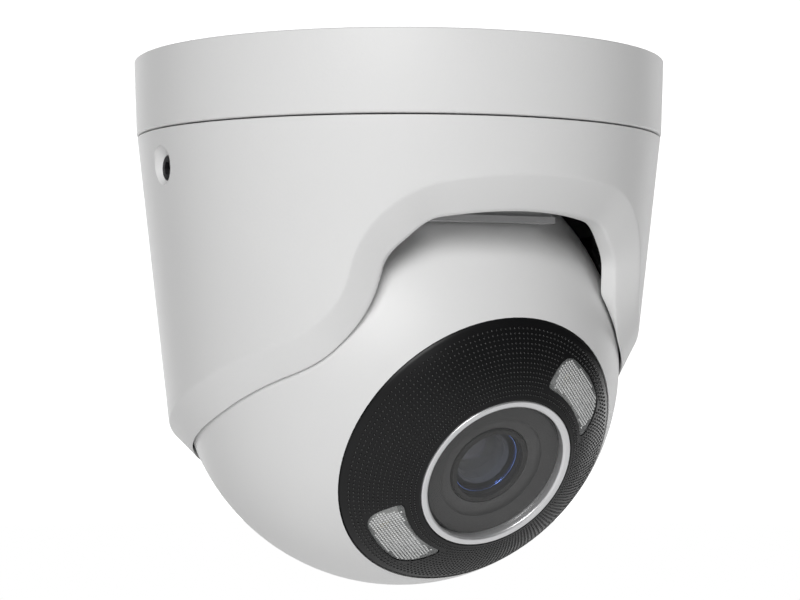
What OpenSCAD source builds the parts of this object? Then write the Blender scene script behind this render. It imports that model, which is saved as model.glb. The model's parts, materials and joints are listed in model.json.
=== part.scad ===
// Turret (dome) surveillance camera: a ceiling base, a hood that pans on it,
// and an eyeball that tilts in the hood and rolls about its own lens axis.
// Origin: centre of the ceiling face. +Z is up into the ceiling, -Y is the front.

/* [Base] */
// Radius of the base against the ceiling
base_r = 60; // [56:0.5:64]
// Height of the base's visible band
base_h = 16.8; // [14:0.1:18]
// Circle that the ceiling screws lie on
screw_pcd = 84; // [70:1:88]
// Radius of one ceiling screw hole
screw_hole_r = 2.6; // [2:0.1:3.2]
// Radius of the cable passage in the ceiling face
cable_bore_r = 8; // [5:0.5:10]

/* [Hood] */
// Radius that the hood's cone would have at the ceiling
cone_r = 61.18; // [60.5:0.01:62]
// How much the cone narrows for each millimetre down
cone_slope = 0.1107; // [0.09:0.001:0.13]
// Thickness of the hood's wall
hood_wall = 2.3; // [1.8:0.1:2.6]
// Height of the rim plane on the turning axis
rim_z = -73.6; // [-76:0.1:-72]
// Slope of the rim plane, lower towards the back
rim_slope = 0.376; // [0.3:0.002:0.42]
// Width of the bevel round the opening
bevel_w = 7.0; // [5:0.1:8]
// Height of the top of the front arch
arch_z = -28.45; // [-30:0.05:-27]
// Height of the two clamping screws
set_screw_z = -25.4; // [-27:0.1:-24]

/* [Eyeball] */
// Radius of the eyeball
ball_r = 50; // [49:0.1:50.2]
// Depth of the eyeball's centre below the ceiling
ball_drop = 68.05; // [67:0.05:70]
// Lens axis below the horizontal in the stored pose
rest_tilt = 28.39; // [20:0.1:40]
// Radius of the black face ring
face_r = 32.54; // [30:0.1:34]
// Outer radius of the bright bezel ring
bezel_r = 17.77; // [16.5:0.1:19]
// Inner radius of a light window
window_r0 = 21.2; // [20:0.1:23]
// Outer radius of a light window
window_r1 = 28.5; // [26:0.1:29.5]

/* [Hidden] */
$fn = 96;
eps = 0.01;
seam = 0.35;             // shadow gap between the base and the hood
hood_top = -base_h - seam;
seat_r = ball_r + 0.6;   // concave seat in the hood's rim
rim_n = [0, -rim_slope, -1] / sqrt(1 + rim_slope * rim_slope);
window_angles = [45, 225];
lug_angles = [22.5, 112.5, 202.5, 292.5];   // rear cover's screws
chassis_angles = [67.5, 157.5, 247.5, 337.5];   // chassis screws

// ---------------------------------------------------------------- frames

// Puts children into the eyeball's frame: +Z out along the lens, +X to the side
module eye() {
    translate([0, 0, -ball_drop]) rotate([90 + rest_tilt, 0, 0]) children();
}

// Turns children so that +Z points out of the hood at an angle from the front
module on_hood(angle, z) {
    translate([0, 0, z]) rotate([0, 0, angle]) rotate([90, 0, 0]) children();
}

module at_angles(angles) {
    for (a = angles) rotate([0, 0, a]) children();
}

// A ring between two radii and two heights
module ring(r0, r1, z0, z1) {
    translate([0, 0, z0]) difference() {
        cylinder(r = r1, h = z1 - z0);
        translate([0, 0, -1]) cylinder(r = r0, h = z1 - z0 + 2);
    }
}

module disc(r, z0, z1) {
    translate([0, 0, z0]) cylinder(r = r, h = z1 - z0);
}

module block(size, centre_xy, z0) {
    translate([centre_xy[0] - size[0] / 2, centre_xy[1] - size[1] / 2, z0]) cube(size);
}

// ---------------------------------------------------------------- base

// Cast base: ceiling plate, outer band and the spigot that the turret turns on
module mounting_base() {
    color("gainsboro") difference() {
        rotate_extrude($fn = 180) polygon([
            [0, 0], [base_r, 0], [base_r - 0.55, -base_h], [base_r - 2.6, -base_h],
            [base_r - 2.2, -3.2], [53, -3.2], [53, -29.5], [50.6, -29.5], [50.6, -3.2], [0, -3.2]
        ]);
        ring(56, 58, -1.2, 1);
        translate([0, 0, -10]) cylinder(r = cable_bore_r, h = 20);
        at_angles([30, 150, 270]) translate([screw_pcd / 2, 0, -10]) cylinder(r = screw_hole_r, h = 20);
        translate([0, 0, set_screw_z]) rotate_extrude($fn = 180)
            polygon([[52.2, -1], [52.2, 1], [54, 3.2], [54, -3.2]]);
    }
}

// Rubber cord seal in the ceiling face's groove
module ceiling_seal() {
    color("dimgray") ring(56.05, 57.95, -1.15, 0);
}

// ---------------------------------------------------------------- hood

function cone_at(z) = cone_r + cone_slope * z;
function smooth(t) = let (u = max(0, min(1, t))) u * u * (3 - 2 * u);
function cyl_point(r, angle, z) = [r * sin(angle), -r * cos(angle), z];
function seat_at(z) = sqrt(max(1, seat_r * seat_r - pow(z + ball_drop, 2)));

// The front arch is a chain of tangent arcs seen from the front. Each entry is
// [radius, turn in degrees, steps]; a turn of 0 is a straight run of that length.
arch_chain = [[127, -9, 9], [19.3, -72, 14], [3.3, 0, 2], [18.6, 49.7, 8]];

// Walks one arc from [x, z, heading] and gives the states along it
function arc_states(s, r, turn, n) = [for (i = [1:n]) let (h = s[2] + turn * i / n, k = sign(turn))
    turn == 0 ? [s[0] + r * i / n * cos(s[2]), s[1] + r * i / n * sin(s[2]), s[2]]
    : [s[0] - k * r * (sin(s[2]) - sin(h)), s[1] + k * r * (cos(s[2]) - cos(h)), h]];
function walk(s, list, i = 0) = i >= len(list) ? [] :
    let (part = arc_states(s, list[i][0], list[i][1], list[i][2]))
    concat(part, walk(part[len(part) - 1], list, i + 1));
arch = concat([[0, arch_z, 0]], walk([0, arch_z, 0], arch_chain));
arch_n = len(arch);
rim_n_steps = 34;

// Height of the rim plane on the cone at an angle from the front
function rim_edge_z(angle) = (rim_z + rim_slope * cone_r * cos(angle)) / (1 - rim_slope * cone_slope * cos(angle));
// Point of the ball seat at an angle, a distance below the ball's centre along the rim's normal
function seat_point(angle, d) =
    let (k = rim_slope * cos(angle), m = d * sqrt(1 + rim_slope * rim_slope),
         r = (k * m + sqrt(k * k * m * m - (1 + k * k) * (m * m - seat_r * seat_r))) / (1 + k * k))
    [r, k * r - m - ball_drop];

// Section of the hood at one station of the arch: six points round the wall
function arch_section(s, i) =
    let (w = bevel_w + 0.9 * sin(180 * smooth((i - 9) / 14)) + 0.6 * smooth((i - 26) / 8),
         nx = sin(s[2]), nz = -cos(s[2]), lip = smooth((i - 22) / 11),
         ro = cone_at(s[1]), ao = asin(s[0] / ro),
         xi = s[0] + w * nx, zi = s[1] + w * nz, ri = max(cone_at(zi) - 4, seat_at(zi)), ai = asin(xi / ri),
         zd = zi + 3 * lip, rd = max(ri - 3.3, seat_at(zd)),
         xe = xi - 3.5 * nx, ze = max(zi - 3.5 * nz, zd + 2), re = cone_at(ze) - hood_wall)
    [cyl_point(cone_at(hood_top), ao, hood_top), cyl_point(ro, ao, s[1]), cyl_point(ri, ai, zi),
     cyl_point(rd, ai, zd), cyl_point(re, asin(xe / re), ze),
     cyl_point(cone_at(hood_top) - hood_wall, ao, hood_top)];
arch_end = arch[arch_n - 1];
arch_end_angle = asin(arch_end[0] / cone_at(arch_end[1]));

// The same section where the rim is the plain inclined cut
function rim_section(t) =
    let (a = arch_end_angle + (180 - arch_end_angle) * t, d = 12.5 - 1.4 * (1 - smooth(t * 4)),
         zo = rim_edge_z(a), p = seat_point(a - 2 * (1 - smooth(t * 4)), d), zd = p[1] + 3, ze = zd + 3)
    [cyl_point(cone_at(hood_top), a, hood_top), cyl_point(cone_at(zo), a, zo),
     cyl_point(p[0], a - 2 * (1 - smooth(t * 4)), p[1]), cyl_point(seat_at(zd), a, zd),
     cyl_point(cone_at(ze) - hood_wall, a, ze), cyl_point(cone_at(hood_top) - hood_wall, a, hood_top)];

half_sections = concat([for (i = [0:arch_n - 1]) arch_section(arch[i], i)],
                       [for (i = [1:rim_n_steps]) rim_section(i / rim_n_steps)]);
half_n = len(half_sections);
sections = concat(half_sections,
    [for (i = [half_n - 2:-1:1]) [for (p = half_sections[i]) [-p[0], p[1], p[2]]]]);

module hood_body() {
    n = len(sections);
    m = 6;
    polyhedron(
        points = [for (s = sections) for (p = s) p],
        faces = [for (i = [0:n - 1]) for (j = [0:m - 1]) for (k = [0, 1])
            let (a = i * m + j, b = i * m + (j + 1) % m, c = ((i + 1) % n) * m + (j + 1) % m,
                 d = ((i + 1) % n) * m + j)
            k == 0 ? [a, b, c] : [a, c, d]]);
}

// Painted hood with the front arch, the bevelled rim and two screw holes
module hood() {
    color("whitesmoke") difference() {
        hood_body();
        for (side = [-90, 90]) on_hood(side, set_screw_z) {
            translate([0, 0, 50]) cylinder(r = 2.75, h = 15);
            translate([0, 0, cone_at(set_screw_z) - 1.3]) cylinder(r1 = 2.75, r2 = 4.6, h = 1.7);
        }
    }
}

// Cast ring fixed in the hood: bearing seat above, three clamping shoes below
module carrier() {
    color("lightgray") difference() {
        union() {
            rotate_extrude($fn = 180) polygon([
                [54.05, hood_top - 1.2], [cone_at(hood_top) - 2.5, hood_top - 1.2],
                [cone_at(-31.8) - 2.5, -31.8], [38, -31.8], [38, -30.2], [54.05, -30.2]
            ]);
            for (a = [0, 120, 240]) rotate([0, 0, a]) shoe();
        }
        for (side = [-90, 90]) on_hood(side, set_screw_z) translate([0, 0, 50]) cylinder(r = 2.6, h = 15);
    }
}

// One clamping shoe: a web under the ring and a foot in front of the ball's shoulder
module shoe() {
    difference() {
        union() {
            translate([-15, -42, -36.2]) cube([28, 7, 5]);
            translate([-18, -43.4, -37.4]) cube([31, 6, 1.4]);
        }
        translate([0, 0, -ball_drop]) sphere(r = ball_r + 0.9, $fn = 128);
    }
}

// Acetal strip that the turret turns on
module pan_bearing() {
    color("ivory") difference() {
        ring(53.06, 54.05, -29.4, hood_top - 2);
        for (side = [-90, 90]) on_hood(side, set_screw_z) translate([0, 0, 50]) cylinder(r = 2.75, h = 8);
    }
}

// Two socket set screws that lock the hood on the spigot
module set_screws() {
    color("dimgray") for (side = [-90, 90]) on_hood(side, set_screw_z) difference() {
        union() {
            translate([0, 0, 53.6]) cylinder(r = 2.5, h = 3.6);
            translate([0, 0, 52.6]) cylinder(r1 = 1.4, r2 = 2.5, h = 1);
        }
        translate([0, 0, 55.6]) cylinder(r = 1.45, h = 3, $fn = 6);
    }
}

// Felt pads between the shoes and the ball
module friction_pads() {
    color("dimgray") for (a = [0, 120, 240]) rotate([0, 0, a]) intersection() {
        translate([0, 0, -ball_drop]) rotate_extrude($fn = 180)
            shell_2d(ball_r + 0.32, ball_r + 0.88, 32.2, 35.8);
        translate([-10, -45, -40]) cube([20, 20, 10]);
    }
}

// Black foam lining that keeps dust and insects out behind the ball
module dust_seal() {
    color("black") difference() {
        rotate_extrude($fn = 180) difference() {
            polygon([[44, -39], [cone_at(-39) - 2.6, -39], [cone_at(-58) - 2.6, -58], [44, -58]]);
            translate([0, -ball_drop]) circle(r = ball_r + 0.5, $fn = 180);
        }
        translate([0, 0, -70]) linear_extrude(40) polygon([
            [0, 0], [80 * sin(52), -80 * cos(52)], [80, -120], [-80, -120], [-80 * sin(52), -80 * cos(52)]
        ]);
    }
}

// ---------------------------------------------------------------- tilt

// Acetal ring behind the ball: it tilts with the ball, and the ball rolls in it
module slip_ring() {
    color("ivory") eye() rotate_extrude($fn = 120) difference() {
        intersection() {
            circle(r = ball_r - 0.2, $fn = 180);
            translate([14.06, -41]) square([30, 6]);
        }
        translate([0, -39]) square([20, 0.01]);
    }
}

// ---------------------------------------------------------------- eyeball shell

// Section of a spherical shell between two heights, for turning about the lens axis
module shell_2d(r0, r1, h0, h1) {
    intersection() {
        difference() {
            circle(r = r1, $fn = 180);
            circle(r = r0, $fn = 180);
        }
        translate([0, h0]) square([80, h1 - h0]);
    }
}

// Outline of a light window: a piece of a ring with straight, tapered ends
module window_2d(gap = 0) {
    a0 = 45 - 25.25;
    a1 = 45 - 18.4;
    in = window_r0 + gap;
    out = window_r1 - gap;
    p = in * [cos(a0), sin(a0)];
    q = out * [cos(a1), sin(a1)];
    d = (q - p) / norm(q - p);
    g = gap * [-d[1], d[0]];
    p2 = p - 6 * d + g;
    q2 = q + 6 * d + g;
    rotate(-45) intersection() {
        difference() {
            circle(r = out, $fn = 120);
            circle(r = in, $fn = 120);
        }
        polygon([p2, q2, [q2[1], q2[0]], [p2[1], p2[0]]]);
    }
}

// Screw lugs inside the eyeball, each joined to the wall by a web
module housing_lugs(angles, at_r, lug_r, h0, h1) {
    at_angles(angles) intersection() {
        union() {
            translate([at_r, 0, 0]) disc(lug_r, h0, h1);
            translate([at_r, -lug_r, h0]) cube([14, 2 * lug_r, h1 - h0]);
        }
        sphere(r = ball_r - 1, $fn = 180);
    }
}

// Die-cast eyeball, open at the back and at the face
module ball_housing() {
    color("whitesmoke") eye() difference() {
        union() {
            rotate_extrude($fn = 180) shell_2d(ball_r - 2.6, ball_r, -31, 41);
            intersection() {
                ring(31, 36, 31, 33.6);
                sphere(r = ball_r - 1, $fn = 180);
            }
            intersection() {
                ring(36.2, 41, -31, -26);
                sphere(r = ball_r - 1, $fn = 180);
            }
            housing_lugs(lug_angles, 32.6, 3.4, -29.1, -22);
            housing_lugs(chassis_angles, 31.9, 3, 10.4, 17);
        }
        translate([0, 0, 33.6]) cylinder(r = face_r + 0.2, h = 20);
        at_angles(lug_angles) translate([32.6, 0, -30]) cylinder(r = 1.3, h = 10);
        at_angles(chassis_angles) translate([31.9, 0, 10]) cylinder(r = 1.3, h = 6);
    }
}

// Black moulded face of the eyeball with its two light openings
module face_ring() {
    color("#151515") eye() difference() {
        union() {
            rotate_extrude($fn = 180) intersection() {
                shell_2d(ball_r - 2.4, ball_r - 0.2, 30, 50);
                translate([17.95, 0]) square([face_r - 17.95, 60]);
            }
            intersection() {
                ring(30.6, face_r, 34.2, 38.5);
                sphere(r = ball_r - 0.3, $fn = 180);
            }
            intersection() {
                ring(17.95, 19.2, 37, 47);
                sphere(r = ball_r - 0.3, $fn = 180);
            }
        }
        at_angles(window_angles) translate([0, 0, 36]) linear_extrude(14) window_2d();
    }
}

// Flat rubber gasket between the face ring and the housing's ledge
module face_gasket() {
    color("dimgray") eye() ring(31.2, face_r - 0.1, 33.6, 34.2);
}

// One clear window, flush with the face
module light_window(angle) {
    eye() rotate([0, 0, angle]) intersection() {
        rotate_extrude($fn = 180) shell_2d(ball_r - 2.2, ball_r - 0.22, 30, 50);
        translate([0, 0, 34]) linear_extrude(16) window_2d(0.12);
    }
}
module light_window_upper() { color([0.9, 0.93, 0.95, 0.4]) light_window(window_angles[0]); }
module light_window_lower() { color([0.9, 0.93, 0.95, 0.4]) light_window(window_angles[1]); }

// Bright cup that throws the chip's light out through its window
module reflector(angle) {
    eye() rotate([0, 0, angle]) difference() {
        intersection() {
            sphere(r = ball_r - 2.6, $fn = 120);
            translate([0, 0, 35.4]) linear_extrude(10) window_2d(0.5);
        }
        translate([24.7, 0, 35]) cylinder(r1 = 2.0, r2 = 3.1, h = 2.4);
        translate([24.7, 0, 37.39]) cylinder(r1 = 3.1, r2 = 5.2, h = 8);
    }
}
module reflector_upper() { color("silver") reflector(window_angles[0]); }
module reflector_lower() { color("silver") reflector(window_angles[1]); }

// Ring-shaped board that carries both light chips
module light_board() {
    color("darkgreen") eye() difference() {
        ring(19.6, 29.8, 34.2, 35.4);
        at_angles([0, 90, 180, 270]) translate([27.5, 0, 30]) cylinder(r = 1.1, h = 8);
    }
}

module led_chips() {
    color("khaki") eye() at_angles(window_angles) {
        block([2.8, 2.8, 0.7], [24.7, 0], 35.4);
        translate([24.7, 0, 36.1]) cylinder(r = 1.1, h = 0.3);
    }
}

// ---------------------------------------------------------------- window and lens

module bezel_ring() {
    color("silver") eye() rotate_extrude($fn = 180) polygon([
        [14.2, 42], [bezel_r, 42], [bezel_r, 46.35], [bezel_r - 0.35, 46.6],
        [bezel_r - 0.75, 46.55], [16.5, 45.75], [16.5, 43], [14.2, 43]
    ]);
}

module front_glass() {
    color([0.55, 0.6, 0.65, 0.35]) eye() rotate_extrude($fn = 180)
        polygon([[0, 43.9], [16.42, 43.9], [16.42, 44.9], [16.0, 45.3], [0, 45.3]]);
}

module glass_seal() {
    color("black") eye() ring(14.4, 16.4, 43, 43.9);
}

// Foam collar that keeps the lights' glare out of the lens
module light_baffle() {
    color("#222222") eye() ring(9.35, 13.6, 34.5, 43);
}

module lens_retainer() {
    color("#1a1a1a") eye() rotate_extrude($fn = 120) polygon([
        [7.85, 42.2], [9.05, 42.2], [9.05, 43.1], [8.8, 43.35], [7.95, 43.35], [7.85, 43.2]
    ]);
}

module lens_barrel() {
    color("#1a1a1a") eye() difference() {
        union() {
            disc(9.05, 34, 42.2);
            disc(7.0, 22, 34);
        }
        translate([0, 0, 39.2]) cylinder(r = 7.8, h = 5);
        translate([0, 0, 33.5]) cylinder(r = 5.6, h = 6);
        translate([0, 0, 20]) cylinder(r = 4.6, h = 14);
    }
}

module front_element() {
    color([0.35, 0.35, 0.55, 0.5]) eye() difference() {
        intersection() {
            disc(7.75, 39.25, 44);
            translate([0, 0, 43.1 - 15]) sphere(r = 15, $fn = 120);
        }
        translate([0, 0, 41.9 - 7]) sphere(r = 7, $fn = 96);
    }
}

module middle_element() {
    color([0.4, 0.45, 0.55, 0.5]) eye() intersection() {
        disc(5.5, 34.2, 38.2);
        translate([0, 0, 38 - 11]) sphere(r = 11, $fn = 96);
        translate([0, 0, 34.4 + 14]) sphere(r = 14, $fn = 96);
    }
}

module rear_element() {
    color([0.4, 0.45, 0.55, 0.5]) eye() intersection() {
        disc(4.5, 22.6, 27);
        translate([0, 0, 27 - 9]) sphere(r = 9, $fn = 96);
        translate([0, 0, 22.8 + 9]) sphere(r = 9, $fn = 96);
    }
}

module iris_ring() {
    color("#111111") eye() ring(2.6, 4.5, 30, 30.6);
}

// Moulded mount that holds the barrel over the sensor, with the filter's slot
module lens_holder() {
    color("#202020") eye() difference() {
        union() {
            block([24, 24, 6.7], [0, 0], 14.3);
            disc(9.6, 21, 30);
        }
        translate([0, 0, 21.9]) cylinder(r = 7.06, h = 12);
        translate([0, 0, 14]) cylinder(r = 4.6, h = 12);
        block([21, 9.4, 1.7], [3, 0], 18.2);
        block([13, 13, 2.2], [0, 0], 14.2);
    }
}

// Carriage with the infrared-cut glass that slides across the lens axis
module filter_slide() {
    color([0.75, 0.55, 0.6, 0.7]) eye() block([9, 8.6, 1.1], [0, 0], 18.5);
}

module filter_coil() {
    color("peru") eye() {
        block([4, 14, 5], [-14.2, 0], 14.3);
        translate([-14.6, -5, 16.9]) rotate([-90, 0, 0]) cylinder(r = 2.4, h = 10);
    }
}

module image_sensor() {
    color("darkslategray") eye() {
        block([11, 9, 1.2], [0, 0], 14.3);
        block([6.2, 4, 0.1], [0, 0], 15.5);
    }
}

module sensor_board() {
    color("darkgreen") eye() difference() {
        block([38, 38, 1.3], [0, 0], 13);
        at_angles([0, 90, 180, 270]) translate([15.6, 15.6, 12]) cylinder(r = 1.2, h = 4);
    }
}

// Small screws from the board into the lens mount's chassis
module sensor_screws() {
    color("silver") eye() at_angles([0, 90, 180, 270]) translate([15.6, 15.6, 0]) {
        disc(1.0, 9.5, 14.3);
        disc(1.9, 14.3, 15.2);
    }
}

// ---------------------------------------------------------------- electronics

// Cast heat spreader across the ball that carries every board
module chassis() {
    color("silver") eye() difference() {
        union() {
            difference() {
                disc(34, 8.4, 10.4);
                block([22, 22, 4], [0, 0], 7.5);
            }
            at_angles([0, 90, 180, 270]) translate([15.6, 15.6, 0]) disc(2.4, 10.4, 13);
            at_angles([45, 135, 225, 315]) translate([29.5, 0, 0]) disc(2.6, 5.6, 8.5);
            difference() {
                ring(32.6, 34, 8.4, 13);
                at_angles(chassis_angles) block([9, 7.8, 9], [34, 0], 7);
            }
        }
        at_angles([0, 90, 180, 270]) translate([15.6, 15.6, 9]) cylinder(r = 1.05, h = 6);
        at_angles([45, 135, 225, 315]) translate([29.5, 0, 1]) cylinder(r = 1.3, h = 6);
        at_angles(chassis_angles) translate([31.9, 0, 7]) cylinder(r = 1.3, h = 5);
        lug_notches();
    }
}

// Screws from the rear that hold the chassis against the housing's lugs
module chassis_screws() {
    color("silver") eye() at_angles(chassis_angles) translate([31.9, 0, 0]) difference() {
        union() {
            disc(2.0, 7.0, 8.4);
            disc(1.25, 8.3, 15.5);
        }
        translate([0, 0, 6.5]) cylinder(r = 0.9, h = 1.2, $fn = 6);
    }
}

// Cut-outs that let a plate pass the rear lugs when it goes in from the back
module lug_notches() {
    at_angles(lug_angles) block([12, 7.4, 60], [34.9, 0], -30);
}

module heat_pad() { color("lightblue") eye() block([16, 8, 1.4], [0, 16.5], 6.95); }
module processor() { color("#1c1c1c") eye() block([15, 7.6, 1.3], [0, 16.5], 5.6); }
module memory_chips() {
    color("#1c1c1c") eye() for (x = [-17, 17]) block([9, 11, 1.1], [x, 6], 5.6);
}

module board_holes() {
    at_angles([45, 135, 225, 315]) translate([29.5, 0, -30]) cylinder(r = 1.5, h = 60);
}

module main_board() {
    color("darkgreen") eye() difference() {
        disc(35.2, 4, 5.6);
        board_holes();
        lug_notches();
    }
}

module board_connectors() {
    color("linen") eye() {
        block([14, 4.4, 2.6], [0, -8.6], 5.6);
        block([4, 12, 4], [26, -8], 0);
        block([12, 4, 4], [3, 25], 0);
        difference() {
            block([6, 6, 3.6], [-13, -22], 0.4);
            disc_at([-13, -22], 1.65, -1, 2.75);
        }
    }
}

// Socket for the memory card, on the board's rear side
module card_socket() {
    color("lightgray") eye() difference() {
        block([14.5, 15, 2.2], [-24, 1], 1.8);
        block([11.4, 16, 1.1], [-24, -0.5], 2.3);
    }
}
module memory_card() { color("#202028") eye() block([11, 15, 0.8], [-24, -1], 2.45); }

// Push button beside the card socket, pressed from the rear
module reset_button() { color("#303030") eye() disc_at([-13, -22], 1.6, -0.6, 2.2); }
module disc_at(xy, r, z0, z1) { translate([xy[0], xy[1], z0]) cylinder(r = r, h = z1 - z0); }
module microphone() { color("gold") eye() block([3.8, 3, 1.1], [24, -12], 5.6); }

// Pillars between the main board and the power board
module board_spacers() {
    color("goldenrod") eye() at_angles([45, 135, 225, 315]) translate([29.5, 0, 0]) difference() {
        union() {
            disc(2.7, -9, 4);
            disc(1.25, 4, 6.6);
        }
        disc(1.3, -10, 0);
    }
}

module power_board() {
    color("darkgreen") eye() difference() {
        disc(35.2, -10.6, -9);
        board_holes();
        lug_notches();
    }
}

module transformer() {
    color("#e0c060") eye() {
        block([13, 15, 9], [12, 8], -19.6);
        block([17, 8, 8], [12, 8], -19.1);
    }
}

module capacitors() {
    color("#303a60") eye() for (p = [[-14, 14], [-14, 3], [-4, 19]]) disc_at(p, 4, -20.6, -10.6);
}

// Flat cable between the two boards
module ribbon_cable() {
    color("whitesmoke") eye() difference() {
        block([12, 4.4, 9], [3, 30.5], -9);
        block([14, 3.6, 8.4], [3, 29.8], -8.7);
    }
}

// Screws that hold the board stack to the chassis
module board_screws() {
    color("silver") eye() at_angles([45, 135, 225, 315]) translate([29.5, 0, 0]) {
        disc(1.25, -10.6, -1);
        disc(2.6, -12.2, -10.6);
    }
}

// ---------------------------------------------------------------- back of the ball

// Rear cover with the spigot that the slip ring runs on
module rear_cover() {
    color("lightgray") eye() difference() {
        union() {
            disc(37.0, -33.5, -31);
            disc(36, -31.02, -29.2);
            disc(14, -41, -33.4);
        }
        translate([0, 0, -45]) cylinder(r = 6.2, h = 20);
        translate([0, 0, -33]) cylinder(r = 12, h = 5);
        ring(36.4 - 1.4, 37, -31.02, -29);
        at_angles(lug_angles) translate([32.6, 0, 0]) {
            translate([0, 0, -36]) cylinder(r = 1.6, h = 8);
            translate([0, 0, -34]) cylinder(r = 2.5, h = 2.2);
        }
    }
}

module rear_seal() {
    color("dimgray") eye() ring(35.05, 35.8, -30.9, -29.3);
}

module rear_screws() {
    color("silver") eye() at_angles(lug_angles) translate([32.6, 0, 0]) difference() {
        union() {
            disc(2.3, -33.3, -31.8);
            disc(1.25, -31.9, -23);
        }
        translate([0, 0, -34]) cylinder(r = 1.0, h = 1.5, $fn = 6);
    }
}

// Cable entry: threaded body, flange that keeps the slip ring on, rubber throat
module cable_gland() {
    color("#2a2a2a") eye() difference() {
        union() {
            disc(16.4, -43.6, -41.2);
            disc(6.1, -41.3, -27);
        }
        translate([0, 0, -50]) cylinder(r = 3.1, h = 30);
    }
}

// ---------------------------------------------------------------- build

mounting_base();
ceiling_seal();
hood();
carrier();
pan_bearing();
set_screws();
friction_pads();
dust_seal();
slip_ring();
ball_housing();
face_ring();
face_gasket();
light_window_upper();
light_window_lower();
reflector_upper();
reflector_lower();
light_board();
led_chips();
bezel_ring();
front_glass();
glass_seal();
light_baffle();
lens_retainer();
lens_barrel();
front_element();
middle_element();
rear_element();
iris_ring();
lens_holder();
filter_slide();
filter_coil();
image_sensor();
sensor_board();
sensor_screws();
chassis();
chassis_screws();
heat_pad();
processor();
memory_chips();
main_board();
board_connectors();
card_socket();
memory_card();
reset_button();
microphone();
board_spacers();
power_board();
transformer();
capacitors();
ribbon_cable();
board_screws();
rear_cover();
rear_seal();
rear_screws();
cable_gland();
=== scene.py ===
import json
import math
import bpy
import bmesh
from mathutils import Matrix, Vector


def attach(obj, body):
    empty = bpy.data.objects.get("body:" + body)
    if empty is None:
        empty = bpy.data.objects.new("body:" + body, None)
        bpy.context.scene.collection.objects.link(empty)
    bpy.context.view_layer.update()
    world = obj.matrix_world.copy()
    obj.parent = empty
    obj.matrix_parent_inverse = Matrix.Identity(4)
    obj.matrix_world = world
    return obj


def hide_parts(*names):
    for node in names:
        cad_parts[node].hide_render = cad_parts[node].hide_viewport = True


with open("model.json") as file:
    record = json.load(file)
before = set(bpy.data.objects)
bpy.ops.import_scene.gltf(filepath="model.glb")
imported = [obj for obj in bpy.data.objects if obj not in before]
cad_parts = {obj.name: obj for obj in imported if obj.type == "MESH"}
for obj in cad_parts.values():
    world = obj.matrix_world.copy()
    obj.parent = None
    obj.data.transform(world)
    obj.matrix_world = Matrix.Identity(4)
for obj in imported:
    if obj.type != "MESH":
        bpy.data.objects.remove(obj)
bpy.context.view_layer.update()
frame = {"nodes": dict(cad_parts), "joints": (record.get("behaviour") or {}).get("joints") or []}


# ------------------------------------------------------------------ studio
# The camera hangs free, with a pale floor well below it. A large soft key
# lights it from the front left, and two tall lamps lighten its sides.

camera = bpy.data.objects.new("camera", bpy.data.cameras.new("camera"))
bpy.context.scene.collection.objects.link(camera)
pitch = math.radians(0.264)
level = math.cos(pitch)
camera_heading = Vector((0.50382 * level, 0.86381 * level, math.sin(pitch)))
camera.location = (-0.21049, -0.36090, -0.05537)
camera.rotation_mode = "QUATERNION"
camera.rotation_quaternion = camera_heading.to_track_quat("-Z", "Y")
camera.data.lens = 82.11
camera.data.sensor_width = 36.0
camera.data.shift_x = 0.00136
camera.data.clip_start = 0.01
bpy.context.scene.camera = camera
bpy.context.scene.view_settings.view_transform = "Standard"

floor_level = Matrix.Translation((0, 0, -0.45))
floor_mesh = bpy.data.meshes.new("floor")
floor_bm = bmesh.new()
bmesh.ops.create_circle(floor_bm, cap_ends=True, segments=96, radius=3.0, matrix=floor_level)
floor_bm.to_mesh(floor_mesh)
floor_bm.free()
floor = bpy.data.objects.new("floor", floor_mesh)
bpy.context.scene.collection.objects.link(floor)
floor_paint = bpy.data.materials.new("pale_floor")
floor_paint.use_nodes = True
floor_nodes = floor_paint.node_tree.nodes
floor_nodes["Principled BSDF"].inputs["Base Color"].default_value = (0.86, 0.86, 0.86, 1)
floor_nodes["Principled BSDF"].inputs["Roughness"].default_value = 0.9
floor_glow = floor_nodes.new("ShaderNodeEmission")
floor_glow.inputs["Strength"].default_value = 1.0
floor_mix = floor_nodes.new("ShaderNodeMixShader")
floor_ray = floor_nodes.new("ShaderNodeLightPath")
floor_share = floor_nodes.new("ShaderNodeMath")
floor_share.operation = "MULTIPLY_ADD"
floor_share.inputs[1].default_value = 0.55
floor_share.inputs[2].default_value = 0.45
link_floor = floor_paint.node_tree.links.new
link_floor(floor_ray.outputs["Is Camera Ray"], floor_share.inputs[0])
link_floor(floor_share.outputs[0], floor_mix.inputs[0])
link_floor(floor_nodes["Principled BSDF"].outputs[0], floor_mix.inputs[1])
link_floor(floor_glow.outputs[0], floor_mix.inputs[2])
link_floor(floor_mix.outputs[0], floor_nodes["Material Output"].inputs["Surface"])
floor_mesh.materials.append(floor_paint)

# The room is dim in front, so that the key shapes the casting, with a white
# wall behind the object that lightens its edges.
room = bpy.data.worlds.new("pale_room")
room.use_nodes = True
bpy.context.scene.world = room
room_nodes = room.node_tree.nodes
link_room = room.node_tree.links.new
room_nodes["Background"].inputs["Strength"].default_value = 0.07
bright_wall = room_nodes.new("ShaderNodeBackground")
wall_seen = room_nodes.new("ShaderNodeMath")
wall_seen.operation = "MULTIPLY_ADD"
wall_seen.inputs[1].default_value = 0.6
wall_seen.inputs[2].default_value = 1.05
wall_ray = room_nodes.new("ShaderNodeLightPath")
link_room(wall_ray.outputs["Is Camera Ray"], wall_seen.inputs[0])
link_room(wall_seen.outputs[0], bright_wall.inputs["Strength"])
look = room_nodes.new("ShaderNodeTexCoord")
facing_wall = room_nodes.new("ShaderNodeVectorMath")
facing_wall.operation = "DOT_PRODUCT"
facing_wall.inputs[1].default_value = (0.504, 0.864, 0.0)
link_room(look.outputs["Generated"], facing_wall.inputs[0])
wall_edge = room_nodes.new("ShaderNodeMapRange")
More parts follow.
